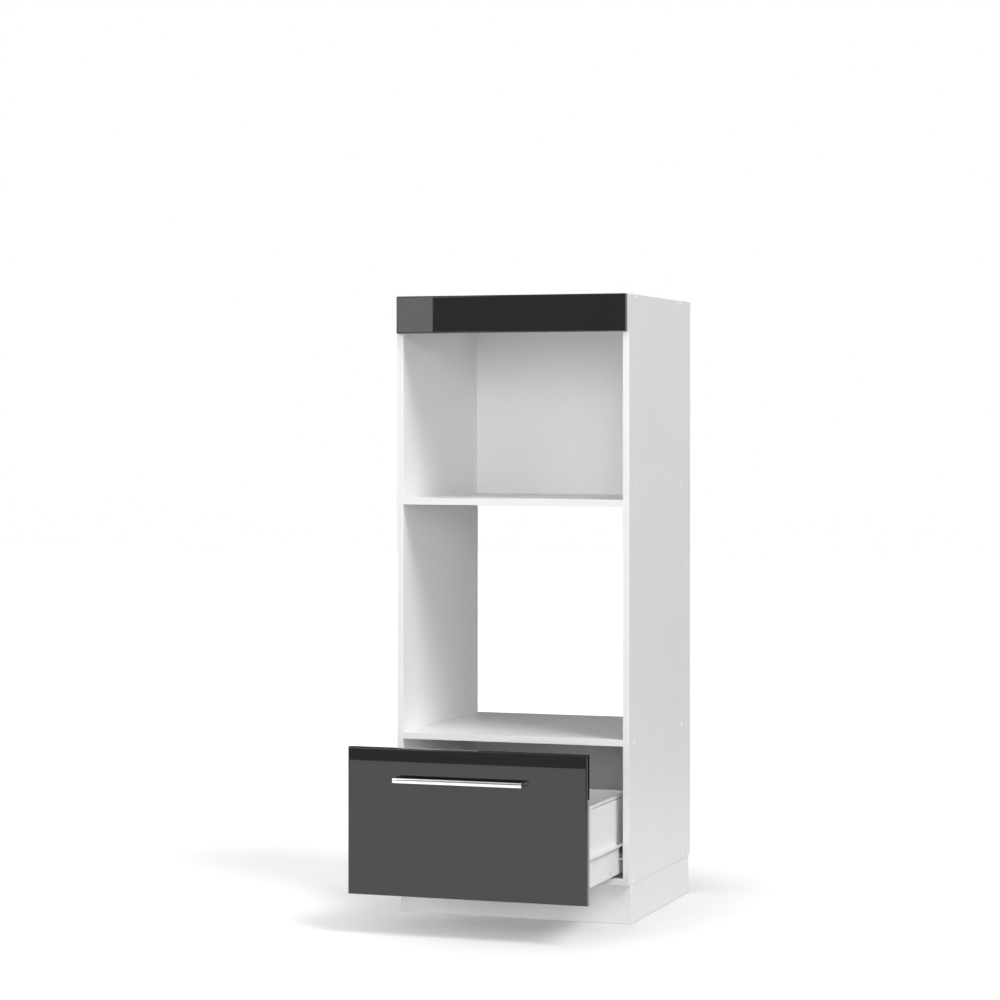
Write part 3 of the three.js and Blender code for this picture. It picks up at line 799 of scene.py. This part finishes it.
def bow_handle():
    """The handle, worked stretched along Y so that its crown comes out flatter than it is tall."""
    solid = bmesh.new()
    bmesh.ops.create_cube(solid, size=1.0)
    extent = handle_high - handle_low
    size = Vector((extent.x, handle_bar_depth * crown_stretch, extent.z))
    bmesh.ops.scale(solid, vec=size, verts=solid.verts)
    bmesh.ops.translate(solid, vec=(0.0, size.y / 2, 0.0), verts=solid.verts)
    for side in (-1, 1):
        bmesh.ops.bisect_plane(
            solid, geom=solid.verts[:] + solid.edges[:] + solid.faces[:], dist=1e-7,
            plane_co=(side * (size.x / 2 - handle_leg_width), 0.0, 0.0), plane_no=(1.0, 0.0, 0.0),
        )
    rear = [
        face for face in solid.faces
        if face.normal.y > 0.9 and abs(face.calc_center_median().x) > size.x / 4
    ]
    legs = bmesh.ops.extrude_face_region(solid, geom=rear)["geom"]
    feet = [corner for corner in legs if isinstance(corner, bmesh.types.BMVert)]
    reach = (extent.y - handle_bar_depth) * crown_stretch
    bmesh.ops.translate(solid, vec=(0.0, reach, 0.0), verts=feet)
    crowned = [edge for edge in solid.edges if all(corner.co.y < 1e-6 for corner in edge.verts)]
    crowned = [edge for edge in crowned if abs(edge.verts[0].co.z - edge.verts[1].co.z) < 1e-6]
    ease(solid, crowned, handle_crown, 10)
    ease(solid, [edge for edge in solid.edges if is_corner(edge)], handle_edge_radius, 3)
    bmesh.ops.scale(solid, vec=(1.0, 1 / crown_stretch, 1.0), verts=solid.verts)
    middle = (handle_low + handle_high) / 2
    bmesh.ops.translate(solid, vec=(middle.x, handle_low.y, middle.z), verts=solid.verts)
    bmesh.ops.recalc_face_normals(solid, faces=solid.faces)
    finished_piece("handle_casting", solid, [handle_chrome], "drawer", "handle_chrome", "handle")


bow_handle()

handle_screw_head_radius = 0.0039
handle_screw_head_height = 0.0023
handle_screw_seat_depth = 0.0024
handle_screw_shank_radius = 0.0018
handle_screw_tip_gap = 0.0002
handle_screw_recess = 0.0018

for handle_word in ("left", "right"):
    handle_screw_node = f"handle_screw_{handle_word}"
    grip_low, grip_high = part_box(handle_screw_node)
    grip_middle = (grip_low + grip_high) / 2
    grip_shank = grip_high.y - grip_low.y - handle_screw_seat_depth - handle_screw_tip_gap
    grip_screw = pan_head_screw(
        handle_screw_head_radius, handle_screw_head_height, handle_screw_shank_radius, grip_shank,
        handle_screw_recess,
    )
    towards_back = Matrix.Rotation(math.pi / 2, 3, "Z")
    bmesh.ops.rotate(grip_screw, cent=(0.0, 0.0, 0.0), matrix=towards_back, verts=grip_screw.verts)
    grip_seat = (grip_middle.x, grip_high.y - handle_screw_seat_depth, grip_middle.z)
    bmesh.ops.translate(grip_screw, vec=grip_seat, verts=grip_screw.verts)
    finished_piece(
        f"{handle_screw_node}_pan_head", grip_screw, [zinc], "drawer", "zinc_steel", handle_screw_node
    )

# ---- Studio ---------------------------------------------------------------------------------------
# A white floor in a pale room, lit by soft areas at both sides of the camera, one high on the right
# and a little light from all round. What shiny faces mirror is dimmer, with a few bright areas. To
# the camera the floor grows lighter away from the cabinet, so that only the shade near it shows.

floor_white = 0.80
floor_white_bounced = 0.30
shade_middle = (0.1, 0.2, 0.0)
shade_stretch = (1.4, 1.0, 1.0)
shade_reach = (0.0, 1.2)
floor_lift = (0.04, 0.58)
mirrored_floor_lift = 0.70
floor_width = 40.0
floor_front = -16.0
floor_rear = 20.0
mirrored_floor_front = -3.8
mirrored_floor_rear = 2.25
floor_strips = (
    ("studio_floor", mirrored_floor_front, mirrored_floor_rear),
    ("studio_floor_in_front", floor_front, mirrored_floor_front),
    ("studio_floor_behind", mirrored_floor_rear, floor_rear),
)

floor_paint = bpy.data.materials.new("studio_floor_paint")
floor_paint.use_nodes = True
paint_tree = floor_paint.node_tree
paint_tree.nodes.clear()
matt = paint_tree.nodes.new("ShaderNodeBsdfDiffuse")
seen = paint_tree.nodes.new("ShaderNodeLightPath")
chosen_white = paint_tree.nodes.new("ShaderNodeMix")
paint_tree.links.new(seen.outputs["Is Diffuse Ray"], chosen_white.inputs["Factor"])
chosen_white.inputs["A"].default_value = floor_white
chosen_white.inputs["B"].default_value = floor_white_bounced
paint_tree.links.new(chosen_white.outputs["Result"], matt.inputs["Color"])
floor_place = paint_tree.nodes.new("ShaderNodeTexCoord").outputs["Object"]
from_middle = paint_tree.nodes.new("ShaderNodeVectorMath")
from_middle.operation = "SUBTRACT"
paint_tree.links.new(floor_place, from_middle.inputs[0])
from_middle.inputs[1].default_value = shade_middle
stretched = paint_tree.nodes.new("ShaderNodeVectorMath")
stretched.operation = "MULTIPLY"
paint_tree.links.new(from_middle.outputs["Vector"], stretched.inputs[0])
stretched.inputs[1].default_value = shade_stretch
away = paint_tree.nodes.new("ShaderNodeVectorMath")
away.operation = "LENGTH"
paint_tree.links.new(stretched.outputs["Vector"], away.inputs[0])
seen_lift = paint_tree.nodes.new("ShaderNodeMapRange")
seen_lift.interpolation_type = "SMOOTHSTEP"
seen_lift.inputs["From Min"].default_value = shade_reach[0]
seen_lift.inputs["From Max"].default_value = shade_reach[1]
seen_lift.inputs["To Min"].default_value = floor_lift[0]
seen_lift.inputs["To Max"].default_value = floor_lift[1]
paint_tree.links.new(away.outputs["Value"], seen_lift.inputs["Value"])
chosen_lift = paint_tree.nodes.new("ShaderNodeMix")
paint_tree.links.new(seen.outputs["Is Glossy Ray"], chosen_lift.inputs["Factor"])
paint_tree.links.new(seen_lift.outputs["Result"], chosen_lift.inputs["A"])
chosen_lift.inputs["B"].default_value = mirrored_floor_lift
lift = paint_tree.nodes.new("ShaderNodeEmission")
paint_tree.links.new(chosen_lift.outputs["Result"], lift.inputs["Strength"])
seen_at_all = paint_tree.nodes.new("ShaderNodeMath")
seen_at_all.operation = "MAXIMUM"
paint_tree.links.new(seen.outputs["Is Camera Ray"], seen_at_all.inputs[0])
paint_tree.links.new(seen.outputs["Is Glossy Ray"], seen_at_all.inputs[1])
lifted = paint_tree.nodes.new("ShaderNodeAddShader")
paint_tree.links.new(matt.outputs["BSDF"], lifted.inputs[0])
paint_tree.links.new(lift.outputs["Emission"], lifted.inputs[1])
chosen = paint_tree.nodes.new("ShaderNodeMixShader")
paint_tree.links.new(seen_at_all.outputs["Value"], chosen.inputs["Fac"])
paint_tree.links.new(matt.outputs["BSDF"], chosen.inputs[1])
paint_tree.links.new(lifted.outputs["Shader"], chosen.inputs[2])
paint_out = paint_tree.nodes.new("ShaderNodeOutputMaterial")
paint_tree.links.new(chosen.outputs["Shader"], paint_out.inputs["Surface"])

for strip_name, strip_front, strip_rear in floor_strips:
    strip_mesh = bpy.data.meshes.new(strip_name)
    strip = bmesh.new()
    bmesh.ops.create_grid(strip, x_segments=1, y_segments=1, size=0.5)
    bmesh.ops.scale(strip, vec=(floor_width, strip_rear - strip_front, 1.0), verts=strip.verts)
    bmesh.ops.translate(strip, vec=(0.0, (strip_front + strip_rear) / 2, 0.0), verts=strip.verts)
    strip.to_mesh(strip_mesh)
    strip.free()
    strip_mesh.materials.append(floor_paint)
    floor = bpy.data.objects.new(strip_name, strip_mesh)
    floor.visible_glossy = strip_name == "studio_floor"
    floor.visible_diffuse = floor.visible_shadow = strip_name != "studio_floor_in_front"
    bpy.context.scene.collection.objects.link(floor)

room = bpy.data.worlds.new("pale_room")
room.use_nodes = True
room_tree = room.node_tree
room_tree.nodes.clear()
towards = room_tree.nodes.new("ShaderNodeTexCoord").outputs["Generated"]
axes = room_tree.nodes.new("ShaderNodeSeparateXYZ")
room_tree.links.new(towards, axes.inputs["Vector"])


def worked_out(operation, first, second=None):
    """The result of one sum in the room's tree; the second value may be a socket or a number."""
    sum_node = room_tree.nodes.new("ShaderNodeMath")
    sum_node.operation = operation
    room_tree.links.new(first, sum_node.inputs[0])
    if isinstance(second, (int, float)):
        sum_node.inputs[1].default_value = second
    elif second is not None:
        room_tree.links.new(second, sum_node.inputs[1])
    return sum_node.outputs["Value"]


to_front = worked_out("MULTIPLY", axes.outputs["Y"], -1.0)
to_right = worked_out("ARCTAN2", axes.outputs["X"], to_front)
upwards = worked_out("ARCSINE", axes.outputs["Z"])
soft_edge = math.radians(3.0)
all_round = (-190.0, 190.0)
plain_white = (1.0, 1.0, 1.0, 1.0)


def soft_area(brightness, azimuths, elevations):
    """A soft-edged area of the room: azimuth 0 is in front, elevation 0 level, both in degrees."""
    area = None
    for angle, (first, last) in ((to_right, azimuths), (upwards, elevations)):
        start, end = math.radians(first), math.radians(last)
        rise = spread(room_tree, angle, start - soft_edge, start + soft_edge, 0.0, 1.0)
        fall = spread(room_tree, angle, end - soft_edge, end + soft_edge, 1.0, 0.0)
        band = worked_out("MULTIPLY", rise, fall)
        area = band if area is None else worked_out("MULTIPLY", area, band)
    return worked_out("MULTIPLY", area, brightness)


def room_light(areas):
    """A white background whose brightness is the sum of its soft areas."""
    total = None
    for area in areas:
        total = area if total is None else worked_out("ADD", total, area)
    light = room_tree.nodes.new("ShaderNodeBackground")
    light.inputs["Color"].default_value = plain_white
    room_tree.links.new(total, light.inputs["Strength"])
    return light.outputs["Background"]


lighting = room_light([
    soft_area(0.20, all_round, (0.0, 100.0)),
    soft_area(0.26, all_round, (60.0, 100.0)),
    soft_area(1.30, (-60.0, 60.0), (-25.0, 0.0)),
    soft_area(1.95, (-45.0, -12.0), (0.0, 35.0)),
    soft_area(1.05, (-45.0, 12.0), (0.0, 15.0)),
    soft_area(1.80, (12.0, 80.0), (0.0, 15.0)),
    soft_area(1.58, (12.0, 45.0), (0.0, 15.0)),
    soft_area(1.31, (12.0, 25.0), (0.0, 35.0)),
    soft_area(5.00, (12.0, 25.0), (0.0, 15.0)),
    soft_area(9.80, (45.0, 80.0), (35.0, 60.0)),
])
mirrored = room_light([
    soft_area(0.03, all_round, (-100.0, 100.0)),
    soft_area(0.22, (-125.0, 125.0), (-100.0, 100.0)),
    soft_area(0.85, (125.0, 172.0), (2.0, 100.0)),
    soft_area(0.50, (-125.0, 125.0), (28.0, 70.0)),
])
white_backdrop = room_tree.nodes.new("ShaderNodeBackground")
white_backdrop.inputs["Color"].default_value = plain_white
room_path = room_tree.nodes.new("ShaderNodeLightPath")
for_mirrors = room_tree.nodes.new("ShaderNodeMixShader")
room_tree.links.new(room_path.outputs["Is Glossy Ray"], for_mirrors.inputs["Fac"])
room_tree.links.new(lighting, for_mirrors.inputs[1])
room_tree.links.new(mirrored, for_mirrors.inputs[2])
for_camera = room_tree.nodes.new("ShaderNodeMixShader")
room_tree.links.new(room_path.outputs["Is Camera Ray"], for_camera.inputs["Fac"])
room_tree.links.new(for_mirrors.outputs["Shader"], for_camera.inputs[1])
room_tree.links.new(white_backdrop.outputs["Background"], for_camera.inputs[2])
room_out = room_tree.nodes.new("ShaderNodeOutputWorld")
room_tree.links.new(for_camera.outputs["Shader"], room_out.inputs["Surface"])
bpy.context.scene.world = room

# A bright panel at the front left, which only the shiny faces see.
panel_left, panel_right = -4.4, -1.675
panel_place = -4.05
panel_low, panel_high = 0.9, 3.6
panel_brightness = 2.25

panel = bmesh.new()
bmesh.ops.create_grid(panel, x_segments=1, y_segments=1, size=0.5)
upright = Matrix.Rotation(math.pi / 2, 3, "X")
bmesh.ops.rotate(panel, cent=(0.0, 0.0, 0.0), matrix=upright, verts=panel.verts)
bmesh.ops.scale(panel, vec=(panel_right - panel_left, 1.0, panel_high - panel_low), verts=panel.verts)
bmesh.ops.translate(
    panel, vec=((panel_left + panel_right) / 2, panel_place, (panel_low + panel_high) / 2), verts=panel.verts
)
panel_mesh = bpy.data.meshes.new("front_left_panel")
panel.to_mesh(panel_mesh)
panel.free()
panel_glow = bpy.data.materials.new("front_left_panel")
panel_glow.use_nodes = True
panel_glow.node_tree.nodes.clear()
lit_face = panel_glow.node_tree.nodes.new("ShaderNodeEmission")
lit_face.inputs["Strength"].default_value = panel_brightness
face_out = panel_glow.node_tree.nodes.new("ShaderNodeOutputMaterial")
panel_glow.node_tree.links.new(lit_face.outputs["Emission"], face_out.inputs["Surface"])
panel_mesh.materials.append(panel_glow)
front_left_panel = bpy.data.objects.new("front_left_panel", panel_mesh)
front_left_panel.visible_camera = False
front_left_panel.visible_diffuse = False
front_left_panel.visible_shadow = False
bpy.context.scene.collection.objects.link(front_left_panel)
